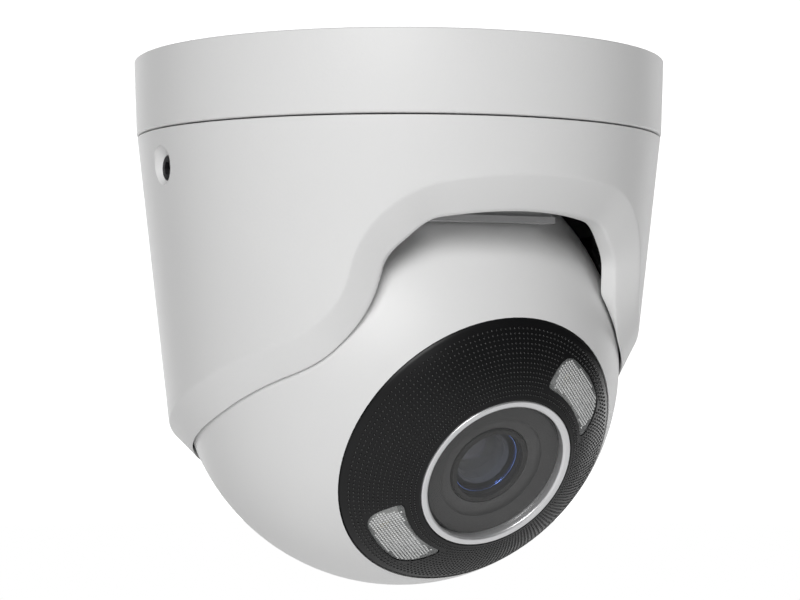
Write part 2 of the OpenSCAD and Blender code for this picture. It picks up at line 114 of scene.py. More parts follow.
wall_edge.interpolation_type = "SMOOTHSTEP"
wall_edge.inputs["From Min"].default_value = 0.62
wall_edge.inputs["From Max"].default_value = 0.93
link_room(facing_wall.outputs["Value"], wall_edge.inputs["Value"])
wall_mix = room_nodes.new("ShaderNodeMixShader")
link_room(wall_edge.outputs["Result"], wall_mix.inputs[0])
link_room(room_nodes["Background"].outputs[0], wall_mix.inputs[1])
link_room(bright_wall.outputs[0], wall_mix.inputs[2])
link_room(wall_mix.outputs[0], room_nodes["World Output"].inputs["Surface"])


def softbox(name, place, aim, width, height, watts):
    """A rectangular area lamp that faces a point."""
    lamp = bpy.data.lights.new(name, "AREA")
    lamp.shape = "RECTANGLE"
    lamp.size = width
    lamp.size_y = height
    lamp.energy = watts
    holder = bpy.data.objects.new(name, lamp)
    holder.location = place
    holder.rotation_mode = "QUATERNION"
    holder.rotation_quaternion = (Vector(aim) - Vector(place)).to_track_quat("-Z", "Y")
    bpy.context.scene.collection.objects.link(holder)


lit_point = (0, 0, -0.06)
softbox("key", (-0.64, -0.86, 0.46), lit_point, 0.6, 0.6, 9.6)
softbox("rim_left", (-0.04, 1.1, 0.05), lit_point, 0.5, 0.9, 2.6)
softbox("rim_right", (1.03, 0.38, 0.0), lit_point, 0.3, 0.9, 2.2)


# ------------------------------------------------------- mounting base, seal
# The base is an aluminium die casting with white powder coat: a shallow drum
# that three screws hold to the ceiling, with a spigot that the hood turns on.
# A black rubber cord in its top groove keeps water out of the ceiling.

MM = 0.001


class Flow:
    """One socket in a node tree; arithmetic on it adds Math nodes."""

    def __init__(self, tree, socket=None):
        self.tree = tree
        self.socket = socket

    def node(self, kind, settings=None, inputs=None, output=0):
        made = self.tree.nodes.new(kind)
        for setting, value in (settings or {}).items():
            if setting == "stops":
                ramp = made.color_ramp.elements
                while len(ramp) < len(value):
                    ramp.new(0.5)
                for stop, (position, colour) in zip(ramp, value):
                    stop.position = position
                    stop.color = colour
            else:
                setattr(made, setting, value)
        for key, value in (inputs or {}).items():
            if isinstance(value, Flow):
                self.tree.links.new(value.socket, made.inputs[key])
            else:
                made.inputs[key].default_value = value
        return Flow(self.tree, made.outputs[output]) if len(made.outputs) else None

    def maths(self, operation, *values):
        return self.node("ShaderNodeMath", {"operation": operation}, dict(enumerate(values)))

    def __add__(self, other):
        return self.maths("ADD", self, other)

    def __radd__(self, other):
        return self.maths("ADD", other, self)

    def __sub__(self, other):
        return self.maths("SUBTRACT", self, other)

    def __rsub__(self, other):
        return self.maths("SUBTRACT", other, self)

    def __mul__(self, other):
        return self.maths("MULTIPLY", self, other)

    def __rmul__(self, other):
        return self.maths("MULTIPLY", other, self)

    def __truediv__(self, other):
        return self.maths("DIVIDE", self, other)

    def __rtruediv__(self, other):
        return self.maths("DIVIDE", other, self)

    def __lt__(self, other):
        return self.maths("LESS_THAN", self, other)

    def __gt__(self, other):
        return self.maths("GREATER_THAN", self, other)

    def blend(self, low, high):
        """A colour between two, by this value."""
        return self.node("ShaderNodeMix", {"data_type": "RGBA"}, {0: self, 6: low, 7: high}, output=2)

    def grain(self, size_mm, detail=2):
        """Noise about this size in millimetres, from 0 to 1."""
        inputs = {"Vector": self, "Scale": 1000 / size_mm, "Detail": detail}
        return self.node("ShaderNodeTexNoise", inputs=inputs)


def finish_of(name, paint):
    """A material: paint(flow) takes the object coordinates and gives the shader."""
    material = bpy.data.materials.new(name)
    material.use_nodes = True
    tree = material.node_tree
    tree.nodes.clear()
    coordinates = Flow(tree).node("ShaderNodeTexCoord", output=3)
    coordinates.node("ShaderNodeOutputMaterial", inputs={"Surface": paint(coordinates)})
    return material


def powder_coat(place):
    fine = place.grain(0.55, 3)
    broad = place.grain(38, 2)
    colour = (broad * 0.7 + fine * 0.3).blend((0.80, 0.80, 0.80, 1), (0.86, 0.86, 0.855, 1))
    bump = place.node("ShaderNodeBump", inputs={"Strength": 0.35, "Distance": 0.00006, "Height": fine})
    return place.node("ShaderNodeBsdfPrincipled", inputs={
        "Base Color": colour, "Roughness": 0.42 + fine * 0.12, "Normal": bump,
        "Specular IOR Level": 0.45})


white_coat = finish_of("white_powder_coat", powder_coat)


def rubber(place):
    fine = place.grain(0.35, 3)
    bloom = place.grain(9, 2)
    colour = bloom.blend((0.016, 0.016, 0.017, 1), (0.034, 0.034, 0.036, 1))
    bump = place.node("ShaderNodeBump", inputs={"Strength": 0.4, "Distance": 0.00005, "Height": fine})
    return place.node("ShaderNodeBsdfPrincipled", inputs={
        "Base Color": colour, "Roughness": 0.7 + fine * 0.2, "Normal": bump})


black_rubber = finish_of("black_rubber", rubber)


def smooth_by_angle(mesh, degrees):
    mesh.shade_smooth()
    mesh.set_sharp_from_angle(angle=math.radians(degrees))


def bend(start, corner, end, t):
    """A point at t on the short curve that rounds a corner."""
    return start * (1 - t) ** 2 + corner * (2 * t * (1 - t)) + end * t ** 2


def softened(outline, radii, steps=4):
    """A closed outline with each corner replaced by a short curve of that size."""
    points = []
    count = len(outline)
    for i, corner in enumerate(outline):
        corner = Vector(corner)
        before = Vector(outline[i - 1]) - corner
        after = Vector(outline[(i + 1) % count]) - corner
        reach = min(radii[i], before.length * 0.45, after.length * 0.45)
        if reach < 1e-9:
            points.append(corner)
            continue
        start = corner + before.normalized() * reach
        end = corner + after.normalized() * reach
        points += [bend(start, corner, end, k / steps) for k in range(steps + 1)]
    return points


def new_piece(name, mesh, material):
    piece = bpy.data.objects.new(name, mesh)
    bpy.context.scene.collection.objects.link(piece)
    mesh.materials.clear()
    mesh.materials.append(material)
    return piece


def turned(name, outline, material, place=None, segments=256, angle=32):
    """A solid turned from an outline of (radius, height) in millimetres."""
    mesh = bpy.data.meshes.new(name)
    bm = bmesh.new()
    rings = []
    for k in range(segments):
        a = 2 * math.pi * k / segments
        rings.append([bm.verts.new((r * MM * math.cos(a), r * MM * math.sin(a), z * MM)) for r, z in outline])
    count = len(outline)
    for k in range(segments):
        here, there = rings[k], rings[(k + 1) % segments]
        for i in range(count):
            j = (i + 1) % count
            bm.faces.new((here[i], there[i], there[j], here[j]))
    bmesh.ops.remove_doubles(bm, verts=bm.verts, dist=1e-8)
    bmesh.ops.dissolve_degenerate(bm, edges=bm.edges, dist=1e-9)
    bmesh.ops.recalc_face_normals(bm, faces=bm.faces)
    bm.to_mesh(mesh)
    bm.free()
    if place is not None:
        mesh.transform(place)
    smooth_by_angle(mesh, angle)
    return new_piece(name, mesh, material)


def cut(piece, cutters, angle=32, operation="DIFFERENCE"):
    """Takes the cutters' shapes out of a piece, or keeps what lies in them, and removes them."""
    for cutter in cutters:
        tool = piece.modifiers.new("cut", "BOOLEAN")
        tool.operation = operation
        tool.solver = "EXACT"
        tool.object = cutter
        bpy.context.view_layer.update()
        seen = piece.evaluated_get(bpy.context.evaluated_depsgraph_get())
        result = bpy.data.meshes.new_from_object(seen)
        piece.modifiers.clear()
        old = piece.data
        piece.data = result
        result.name = old.name
        bpy.data.meshes.remove(old)
        bpy.data.objects.remove(cutter)
    while len(piece.data.materials) > 1:
        piece.data.materials.pop()
    smooth_by_angle(piece.data, angle)


drum_wall = [(0, 0), (60.0, 0), (59.45, -16.8), (57.4, -16.8), (57.8, -3.2)]
spigot_wall = [(53, -3.2), (53, -23.2), (52.2, -24.4), (52.2, -26.4), (53, -27.6), (53, -29.5), (50.6, -29.5)]
base_outline = softened(drum_wall + spigot_wall + [(50.6, -3.2), (0, -3.2)],
                        [0, 0.45, 0.5, 0.3, 0.8, 0.8, 0.2, 0.2, 0.2, 0.2, 0.4, 0.4, 0.8, 0])
mounting_base = turned("base_casting", base_outline, white_coat, segments=320)
cable_bore = [(0, -10), (8, -10), (8, -3.6), (8.5, -3.1), (8.5, -0.4), (8.9, 1), (0, 1)]
base_cutters = [turned("bore", cable_bore, white_coat, segments=64)]
fixing_radius = 42 * MM
fixing_hole = [(0, -10), (4.4, -10), (4.4, -3.0), (2.6, -1.6), (2.6, 1), (0, 1)]
for degrees in (30, 150, 270):
    turn = Matrix.Rotation(math.radians(degrees), 4, "Z") @ Matrix.Translation((fixing_radius, 0, 0))
    base_cutters.append(turned("hole", fixing_hole, white_coat, turn, segments=48))
base_cutters.append(turned("groove", [(56, -1.2), (58, -1.2), (58, 1), (56, 1)], white_coat))
cut(mounting_base, base_cutters)
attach(mounting_base, "base")
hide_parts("mounting_base")


def wear(node, material):
    """Gives a carried-over node its material."""
    for place in frame["nodes"][node].material_slots:
        place.material = material


wear("ceiling_seal", black_rubber)


# ------------------------------------------------------------------ hood
# The hood is a second white casting: a slightly tapered drum, cut at its front
# by an arch with a wide bevel and lower down by an inclined plane. Its inner
# rim follows the ball. Two socket screws at the sides clamp it to the spigot.

BALL_DROP = 68.05
SEAT = 50.6
DRUM_RADIUS = 61.18
DRUM_TAPER = 0.1107
DRUM_WALL = 2.3
RIM_Z = -73.6
RIM_SLOPE = 0.376
RIM_THICK = 3
HOOD_TOP = -17.15
CROWN_Z = -28.45


def eased(t):
    """0 to 1 with a soft start and end."""
    u = max(0.0, min(1.0, t))
    return u * u * (3 - 2 * u)


def cone(z):
    """The drum's outer radius at a height."""
    return DRUM_RADIUS + DRUM_TAPER * z


def seat(z):
    """The radius at a height of the hollow that follows the ball."""
    return math.sqrt(max(1.0, SEAT * SEAT - (z + BALL_DROP) ** 2))


def on_drum(r, angle, z):
    """A point round the drum, with the angle from the front."""
    return Vector((r * math.sin(angle), -r * math.cos(angle), z))


def arch_states():
    """Position and heading along the arch's edge: flat crown, shoulder, short straight and foot."""
    states = [(0.0, CROWN_Z, 0.0)]
    for radius, turn, steps in ((127, -9, 9), (19.3, -72, 14), (3.3, 0, 2), (18.6, 49.7, 8)):
        x0, z0, h0 = states[-1]
        for i in range(1, steps + 1):
            h = h0 + math.radians(turn) * i / steps
            if turn == 0:
                run = radius * i / steps
                states.append((x0 + run * math.cos(h0), z0 + run * math.sin(h0), h0))
                continue
            k = 1 if turn > 0 else -1
            states.append((x0 - k * radius * (math.sin(h0) - math.sin(h)),
                           z0 + k * radius * (math.cos(h0) - math.cos(h)), h))
    return states


def arch_section(state, i):
    """The wall's section at the arch: outer top and edge, bevel's foot, lip, inner edge and top."""
    x, z, heading = state
    bevel = 7.0 + 0.9 * math.sin(math.pi * eased((i - 9) / 14)) + 0.6 * eased((i - 26) / 8)
    nx, nz = math.sin(heading), -math.cos(heading)
    outer_r = cone(z)
    outer_a = math.asin(x / outer_r)
    foot_x, foot_z = x + bevel * nx, z + bevel * nz
    foot_r = max(cone(foot_z) - 4, seat(foot_z))
    foot_a = math.asin(foot_x / foot_r)
    lip_z = foot_z + RIM_THICK * eased((i - 22) / 11)
    lip_r = max(foot_r - 3.3, seat(lip_z))
    inner_x = foot_x - 3.5 * nx
    inner_z = max(foot_z - 3.5 * nz, lip_z + 2)
    inner_r = cone(inner_z) - DRUM_WALL
    return [on_drum(cone(HOOD_TOP), outer_a, HOOD_TOP), on_drum(outer_r, outer_a, z),
            on_drum(foot_r, foot_a, foot_z), on_drum(lip_r, foot_a, lip_z),
            on_drum(inner_r, math.asin(inner_x / inner_r), inner_z),
            on_drum(cone(HOOD_TOP) - DRUM_WALL, outer_a, HOOD_TOP)]


def rim_section(t, start):
    """The wall's section at the slanted rim: two inclined planes cut the drum and the ball's hollow."""
    a = start + (math.pi - start) * t
    arch_end = 1 - eased(t * 4)
    back = math.radians(2) * arch_end
    plane_depth = 12.5 - 1.4 * arch_end
    cos_a = math.cos(a)
    outer_z = (RIM_Z + RIM_SLOPE * DRUM_RADIUS * cos_a) / (1 - RIM_SLOPE * DRUM_TAPER * cos_a)
    k = RIM_SLOPE * math.cos(a - back)
    m = plane_depth * math.sqrt(1 + RIM_SLOPE ** 2)
    foot_r = (k * m + math.sqrt(k * k * m * m - (1 + k * k) * (m * m - SEAT ** 2))) / (1 + k * k)
    foot_z = k * foot_r - m - BALL_DROP
    lip_z = foot_z + RIM_THICK
    inner_z = lip_z + RIM_THICK
    return [on_drum(cone(HOOD_TOP), a, HOOD_TOP), on_drum(cone(outer_z), a, outer_z),
            on_drum(foot_r, a - back, foot_z), on_drum(seat(lip_z), a, lip_z),
            on_drum(cone(inner_z) - DRUM_WALL, a, inner_z), on_drum(cone(HOOD_TOP) - DRUM_WALL, a, HOOD_TOP)]


def through(a, b, c, d, t):
    """A smooth curve through b and c at t between them."""
    squared_term = (2 * a - 5 * b + 4 * c - d) * t ** 2
    return 0.5 * (2 * b + (c - a) * t + squared_term + (3 * b - a - 3 * c + d) * t ** 3)


edge = arch_states()
stations = [arch_section(state, i) for i, state in enumerate(edge)]
edge_end = math.asin(edge[-1][0] / cone(edge[-1][1]))
rim_steps = 34
stations += [rim_section(i / rim_steps, edge_end) for i in range(1, rim_steps + 1)]
stations += [[Vector((-p.x, p.y, p.z)) for p in section] for section in stations[-2:0:-1]]
finer = 5
fine_stations = []
for i in range(len(stations)):
    four = [stations[(i + k) % len(stations)] for k in (-1, 0, 1, 2)]
    for step in range(finer):
        fine_stations.append([through(*corner, step / finer) for corner in zip(*four)])

hood_mesh = bpy.data.meshes.new("hood_shell")
hood_bm = bmesh.new()
hood_rings = []
for section in fine_stations:
    ring = softened(section, [0.35, 0.55, 0.7, 0.5, 1.2, 0.3])
    wall = [ring[4].lerp(ring[5], k / 12) for k in range(1, 12)]
    ring = ring[:5] + wall + ring[5:]
    hood_rings.append([hood_bm.verts.new(p * MM) for p in ring])
for k, here in enumerate(hood_rings):
    there = hood_rings[(k + 1) % len(hood_rings)]
    for i in range(len(here)):
        j = (i + 1) % len(here)
        hood_bm.faces.new((here[i], here[j], there[j], there[i]))
bmesh.ops.recalc_face_normals(hood_bm, faces=hood_bm.faces)
hood_bm.to_mesh(hood_mesh)
hood_bm.free()
hood = new_piece("hood_shell", hood_mesh, white_coat)
smooth_by_angle(hood_mesh, 32)
screw_z = -25.4
skin = cone(screw_z)
countersink = [(2.75, skin - 1.25), (2.95, skin - 1.05), (4.1, skin - 0.1), (4.75, skin + 0.25)]
screw_hole = [(0, 50), (2.75, 50)] + countersink + [(4.75, 66), (0, 66)]
screw_cutters = []
for side in (-90, 90):
    face = Matrix.Translation((0, 0, screw_z * MM)) @ Matrix.Rotation(math.radians(side), 4, "Z")
    face = face @ Matrix.Rotation(math.pi / 2, 4, "X")
    screw_cutters.append(turned("screw_hole", screw_hole, white_coat, face, segments=64))
cut(hood, screw_cutters)
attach(hood, "turret")
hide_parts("hood")


# --------------------------------------------------- parts inside the hood
# A bare cast carrier ring is pressed into the hood. It runs on a pale acetal
# strip, holds three shoes with felt pads above the ball and two socket set
# screws at the sides. Black foam fills the gap behind the ball.

def bare_casting(place):
    blasted = place.grain(0.25, 4)
    cast = place.grain(6, 3)
    colour = cast.blend((0.50, 0.505, 0.51, 1), (0.62, 0.62, 0.625, 1))
    bump = place.node("ShaderNodeBump", inputs={"Strength": 0.5, "Distance": 0.00005, "Height": blasted})
    return place.node("ShaderNodeBsdfPrincipled", inputs={
        "Base Color": colour, "Metallic": 0.55, "Roughness": 0.45 + blasted * 0.2, "Normal": bump})


def acetal(place):
    flow_marks = place.grain(4, 3)
    colour = flow_marks.blend((0.70, 0.69, 0.65, 1), (0.78, 0.77, 0.74, 1))
    return place.node("ShaderNodeBsdfPrincipled", inputs={
        "Base Color": colour, "Roughness": 0.38 + flow_marks * 0.12})


def felt(place):
    fibre = place.node("ShaderNodeTexNoise", inputs={
        "Vector": place, "Scale": 3500.0, "Detail": 4.0, "Distortion": 1.2})
    colour = fibre.blend((0.03, 0.03, 0.032, 1), (0.12, 0.12, 0.125, 1))
    bump = place.node("ShaderNodeBump", inputs={"Strength": 0.9, "Distance": 0.0002, "Height": fibre})
    return place.node("ShaderNodeBsdfPrincipled", inputs={
        "Base Color": colour, "Roughness": 0.95, "Normal": bump, "Sheen Weight": 0.3})


def blackened_steel(place):
    oxide = place.grain(0.8, 4)
    colour = oxide.blend((0.05, 0.05, 0.055, 1), (0.12, 0.12, 0.125, 1))
    return place.node("ShaderNodeBsdfPrincipled", inputs={
        "Base Color": colour, "Metallic": 0.9, "Roughness": 0.3 + oxide * 0.2})


def foam(place):
    cells = place.node("ShaderNodeTexVoronoi", inputs={"Vector": place, "Scale": 1400.0})
    colour = cells.blend((0.008, 0.008, 0.008, 1), (0.03, 0.03, 0.03, 1))
    bump = place.node("ShaderNodeBump", inputs={"Strength": 0.8, "Distance": 0.0003, "Height": cells})
    return place.node("ShaderNodeBsdfPrincipled", inputs={
        "Base Color": colour, "Roughness": 0.95, "Normal": bump})


cast_metal = finish_of("bare_casting", bare_casting)
acetal_plastic = finish_of("acetal", acetal)
black_steel = finish_of("blackened_steel", blackened_steel)
wear("carrier", cast_metal)
wear("pan_bearing", acetal_plastic)
wear("slip_ring", acetal_plastic)
wear("friction_pads", finish_of("felt", felt))
wear("set_screws", black_steel)
wear("dust_seal", finish_of("foam", foam))


# ------------------------------------------------------------ eyeball shell
# The eyeball is a hollow white die casting, open at its face and its back.
# It has the hood's powder coat, a little smoother because felt pads rub it.

def ball_coat(place):
    fine = place.grain(0.5, 3)
    broad = place.grain(30, 2)
    colour = (broad * 0.7 + fine * 0.3).blend((0.80, 0.80, 0.80, 1), (0.86, 0.86, 0.855, 1))
    bump = place.node("ShaderNodeBump", inputs={"Strength": 0.25, "Distance": 0.00005, "Height": fine})
    return place.node("ShaderNodeBsdfPrincipled", inputs={
        "Base Color": colour, "Roughness": 0.4 + fine * 0.1, "Normal": bump, "Specular IOR Level": 0.45})


wear("ball_housing", finish_of("ball_powder_coat", ball_coat))


# --------------------------------------------------------------- face ring
# The eyeball's face is one black moulding that carries on the ball's curve.
# Rings of small raised dots cover it between a smooth rim and a smooth inner
# band, and two windows for the lights are cut through it.

FACE_R = 49.8
FACE_INNER = 18.15
FACE_OUTER = 32.3
roll_joint = next(j for j in frame["joints"] if j["name"] == "roll")
EYE_AXIS = Vector(roll_joint["axis"]).normalized()
EYE_SIDE = Vector((1, 0, 0))
EYE_UP = EYE_AXIS.cross(EYE_SIDE).normalized()
EYE_TURN = Matrix((EYE_SIDE, EYE_UP, EYE_AXIS)).transposed().to_4x4()
EYE = Matrix.Translation(Vector(roll_joint["pos_m"])) @ EYE_TURN


def on_sphere(radius, r):
    """A point (r, height) of a sphere's section."""
    return (r, math.sqrt(radius * radius - r * r))


def face_black(place):
    fine = place.grain(0.2, 3)
    broad = place.grain(14, 2)
    colour = broad.blend((0.006, 0.006, 0.0065, 1), (0.010, 0.010, 0.0105, 1))
    bump = place.node("ShaderNodeBump", inputs={"Strength": 0.25, "Distance": 0.00003, "Height": fine})
    return place.node("ShaderNodeBsdfPrincipled", inputs={
        "Base Color": colour, "Roughness": 0.3 + fine * 0.12, "Normal": bump, "Specular IOR Level": 0.28})


face_plastic = finish_of("face_black", face_black)


def round_corner(points, side, size):
    """Cuts an outline back from the corner where a side starts, and curves to the side."""
    corner = side[0]
    after = next(p for p in side if (p - corner).length > size)
    while (points[-1] - corner).length <= size:
        points.pop()
    before = points[-1]
    points += [bend(before, corner, after, k / 7) for k in range(1, 7)]


def window_outline(gap, steps=10):
    """A light window's rounded outline, in millimetres, about its own centre line."""
    inner = 21.0 + gap
    outer = 28.75 - gap
    a_in = math.radians(26.6) - gap / inner
    a_out = math.radians(19.2) - gap / outer
    corners = [(inner, -a_in), (outer, -a_out), (outer, a_out), (inner, a_in)]
    sizes = [1.7, 3.6, 3.6, 1.7]
    points = []
    for i, (r0, a0) in enumerate(corners):
        r1, a1 = corners[(i + 1) % 4]
        start = Vector((r0 * math.cos(a0), r0 * math.sin(a0)))
        end = Vector((r1 * math.cos(a1), r1 * math.sin(a1)))
        if r0 == r1:
            angles = [a0 + (a1 - a0) * (k / steps) for k in range(steps + 1)]
            side = [Vector((r0 * math.cos(a), r0 * math.sin(a))) for a in angles]
        else:
            side = [start.lerp(end, k / steps) for k in range(steps + 1)]
        if points:
            round_corner(points, side, sizes[i])
        points += [p for p in side
                   if (p - side[0]).length > sizes[i] and (p - side[-1]).length > sizes[(i + 1) % 4]]
        if i == 0:
            first_side = [start] + points
    round_corner(points, first_side, sizes[0])
    return points


def prism(name, outline, low, high, place, material):
    """A straight-sided solid on an outline, in millimetres."""
    mesh = bpy.data.meshes.new(name)
    bm = bmesh.new()
    floor_ring = [bm.verts.new((p[0] * MM, p[1] * MM, low * MM)) for p in outline]
    roof_ring = [bm.verts.new((p[0] * MM, p[1] * MM, high * MM)) for p in outline]
    bm.faces.new(floor_ring)
    bm.faces.new(roof_ring)
    for i in range(len(outline)):
        j = (i + 1) % len(outline)
        bm.faces.new((floor_ring[i], floor_ring[j], roof_ring[j], roof_ring[i]))
    bmesh.ops.recalc_face_normals(bm, faces=bm.faces)
    bm.to_mesh(mesh)
    bm.free()
    mesh.transform(place)
    return new_piece(name, mesh, material)


outer_arc = [on_sphere(FACE_R, FACE_INNER + (FACE_OUTER - FACE_INNER) * k / 40) for k in range(41)]
inner_arc = [on_sphere(47.4, 30.4 - (30.4 - 19.2) * k / 16) for k in range(17)]
face_outline = [(17.95, 46.3)] + outer_arc + [(32.54, 37.5), (32.54, 34.2), (30.6, 34.2)] + inner_arc
face_outline += [(19.2, 37), (17.95, 37)]
face_ring = turned("face_ring_moulding", face_outline, face_plastic, EYE, segments=320, angle=40)
window_turns = {"upper": math.radians(45), "lower": math.radians(225)}
window_places = {name: EYE @ Matrix.Rotation(turn, 4, "Z") for name, turn in window_turns.items()}
openings = [prism("opening", window_outline(0), 33, 55, place, face_plastic)
            for place in window_places.values()]
cut(face_ring, openings, angle=40)
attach(face_ring, "eyeball")
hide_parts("face_ring")


def grow(name, sizes, build, material, place):
    """A plain mesh from a Geometry Nodes tree that build() makes from named sizes."""
    tree = bpy.data.node_groups.new(name, "GeometryNodeTree")
    tree.interface.new_socket("Geometry", in_out="OUTPUT", socket_type="NodeSocketGeometry")
    for label, value in sizes.items():
        kind = "NodeSocketInt" if isinstance(value, int) else "NodeSocketFloat"
        tree.interface.new_socket(label, in_out="INPUT", socket_type=kind)
    source = tree.nodes.new("NodeGroupInput")
    inputs = {label: Flow(tree, source.outputs[label]) for label in sizes}
    grown = build(Flow(tree), inputs)
    solid = grown.node("GeometryNodeRealizeInstances", inputs={0: grown})
    solid = solid.node("GeometryNodeSetMaterial", inputs={"Geometry": solid, "Material": material})
    solid.node("NodeGroupOutput", inputs={0: solid})
    piece = new_piece(name, bpy.data.meshes.new(name), material)
    nodes = piece.modifiers.new(name, "NODES")
    nodes.node_group = tree
    for item in tree.interface.items_tree:
        if item.in_out == "INPUT":
            nodes[item.identifier] = sizes[item.name]
    bpy.context.view_layer.update()
    seen = piece.evaluated_get(bpy.context.evaluated_depsgraph_get())
    mesh = bpy.data.meshes.new_from_object(seen)
    piece.modifiers.clear()
    piece.data = mesh
    mesh.transform(place)
    return piece


def vector(flow, x, y, z):
    return flow.node("ShaderNodeCombineXYZ", inputs={0: x, 1: y, 2: z})


def window_reach(radius):
    """A window's half angle at a radius in metres, from its sloping sides."""
    return 0.4407 - (radius - 0.0212) * 16.4


def beads_on(flow, points, radius, spread):
    """A flattened bead at each point, turned to face out of the eyeball."""
    bead = flow.node("GeometryNodeMeshUVSphere", inputs={"Segments": 8, "Rings": 4, "Radius": radius})
    bead = flow.node("GeometryNodeSetShadeSmooth", inputs={"Geometry": bead})
    here = flow.node("GeometryNodeInputPosition")
    facing = flow.node("FunctionNodeAlignRotationToVector", {"axis": "Z"}, {"Vector": here})
    return flow.node("GeometryNodeInstanceOnPoints", inputs={
        "Points": points, "Instance": bead, "Rotation": facing, "Scale": spread})


def face_dots(flow, size):
    """Rings of flattened beads on the face's sphere, left out over the windows."""
    total = flow.maths("MULTIPLY", size["rings"], size["in ring"])
    points = flow.node("GeometryNodePoints", inputs={"Count": total})
    index = flow.node("GeometryNodeInputIndex")
    ring_number = flow.maths("FLOOR", flow.maths("DIVIDE", index + 0.5, size["in ring"]))
    step = index - ring_number * size["in ring"]
    radius = size["first radius"] - ring_number * size["pitch"]
    angle = step * (2 * math.pi) / size["in ring"]
    height = flow.maths("SQRT", size["sphere"] * size["sphere"] - radius * radius)
    place = vector(flow, radius * flow.maths("COSINE", angle), radius * flow.maths("SINE", angle), height)
    points = flow.node("GeometryNodeSetPosition", inputs={"Geometry": points, "Position": place})
    from_window = flow.maths("WRAP", angle - math.pi / 4, math.pi / 2, -math.pi / 2)
    off_centre = flow.maths("ABSOLUTE", from_window)
    reach = window_reach(radius) + 0.00055 / radius
    inside = (off_centre < reach) * (radius > 0.0208) * (radius < 0.0289)
    points = flow.node("GeometryNodeDeleteGeometry", {"domain": "POINT"}, {
        "Geometry": points, "Selection": inside})
    shrink = 1 - ring_number * size["taper"]
    return beads_on(flow, points, size["bead"], vector(flow, shrink, shrink, shrink * 0.75))


def dot_black(place):
    fine = place.grain(0.6, 2)
    colour = fine.blend((0.006, 0.006, 0.0065, 1), (0.012, 0.012, 0.0125, 1))
    return place.node("ShaderNodeBsdfPrincipled", inputs={
        "Base Color": colour, "Roughness": 0.2 + fine * 0.08, "Specular IOR Level": 0.6})


dot_sizes = {"rings": 15, "in ring": 180, "first radius": 0.0309, "pitch": 0.00084,
             "sphere": FACE_R * MM, "bead": 0.00029, "taper": 0.018}
dots = grow("face_ring_dots", dot_sizes, face_dots, finish_of("face_dots", dot_black), EYE)
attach(dots, "eyeball")
wear("face_gasket", black_rubber)


# ------------------------------------------------------------ light windows
# Each window is a clear acrylic cover, flush with the face and set in with a
# fine gap. A square grid of tiny pillow lenses is moulded into it to spread
# the light of the chip behind.

def window_clear(place):
    haze = place.grain(1.4, 2)
    colour = haze.blend((0.42, 0.43, 0.43, 1), (0.58, 0.59, 0.59, 1))
    return place.node("ShaderNodeBsdfPrincipled", inputs={
        "Base Color": colour, "Roughness": 0.12, "Alpha": 0.3, "IOR": 1.49, "Specular IOR Level": 0.8})


def pillow_clear(place):
    haze = place.grain(2.5, 2)
    colour = haze.blend((0.88, 0.89, 0.89, 1), (0.95, 0.96, 0.95, 1))
    return place.node("ShaderNodeBsdfPrincipled", inputs={
        "Base Color": colour, "Roughness": 0.12, "Alpha": 0.72, "IOR": 1.49, "Specular IOR Level": 1.0})


window_acrylic = finish_of("window_acrylic", window_clear)
pillow_acrylic = finish_of("window_pillows", pillow_clear)


def lens_grid(flow, size):
    """A square grid of low pillows on the window's sphere, kept inside the outline."""
    grid = flow.node("GeometryNodeMeshGrid", inputs={
        "Size X": size["length"], "Size Y": size["width"],
        "Vertices X": size["across"], "Vertices Y": size["along"]})
    points = flow.node("GeometryNodeMeshToPoints", inputs={"Mesh": grid})
    here = flow.node("GeometryNodeInputPosition")
    x = flow.node("ShaderNodeSeparateXYZ", inputs={0: here}, output=0) + size["centre"]
    y = flow.node("ShaderNodeSeparateXYZ", inputs={0: here}, output=1)
    radius = flow.maths("SQRT", x * x + y * y)
    height = flow.maths("SQRT", size["sphere"] * size["sphere"] - radius * radius)
    angle = flow.maths("ABSOLUTE", flow.maths("ARCTAN2", y, x))
    reach = window_reach(radius) - 0.00050 / radius
    corner = flow.maths("MAXIMUM", angle * 0.0285 - 0.0066, 0.0) + flow.maths("MAXIMUM", radius - 0.0256, 0.0)
    outside = (angle > reach) + (radius < 0.0217) + (radius > 0.0280) + (corner > 0.0033)
    points = flow.node("GeometryNodeDeleteGeometry", {"domain": "POINT"}, {
        "Geometry": points, "Selection": outside})
    points = flow.node("GeometryNodeSetPosition", inputs={
        "Geometry": points, "Position": vector(flow, x, y, height)})
    return beads_on(flow, points, size["pillow"], (1.0, 1.0, 0.5))


cover_outline = [on_sphere(49.56, 20 + 10 * k / 16) for k in range(17)]
cover_outline += [on_sphere(47.9, 30 - 10 * k / 16) for k in range(17)]
lens_sizes = {"length": 0.0096, "width": 0.0228, "across": 17, "along": 39,
              "centre": 0.0248, "sphere": 0.04958, "pillow": 0.00027}
for side, place in window_places.items():
    cover = turned("window_cover_" + side, cover_outline, window_acrylic, EYE, segments=320, angle=40)
    inside = prism("inside", window_outline(0.14), 33, 55, place, window_acrylic)
    cut(cover, [inside], angle=40, operation="INTERSECT")
    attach(cover, "eyeball")
    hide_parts("light_window_" + side)
    lenses = grow("window_lenses_" + side, lens_sizes, lens_grid, pillow_acrylic, place)
    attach(lenses, "eyeball")


# ------------------------------------------------------------ light engines
# Behind each window sits a metallised reflector cup over one yellow phosphor
# chip. Both chips are soldered to a ring-shaped green board.

def metallised(place):
    ripple = place.grain(1.6, 2)
    colour = ripple.blend((0.80, 0.80, 0.79, 1), (0.90, 0.90, 0.89, 1))
    bump = place.node("ShaderNodeBump", inputs={"Strength": 0.3, "Distance": 0.0001, "Height": ripple})
    return place.node("ShaderNodeBsdfPrincipled", inputs={
        "Base Color": colour, "Metallic": 0.6, "Roughness": 0.28 + ripple * 0.1, "Normal": bump})


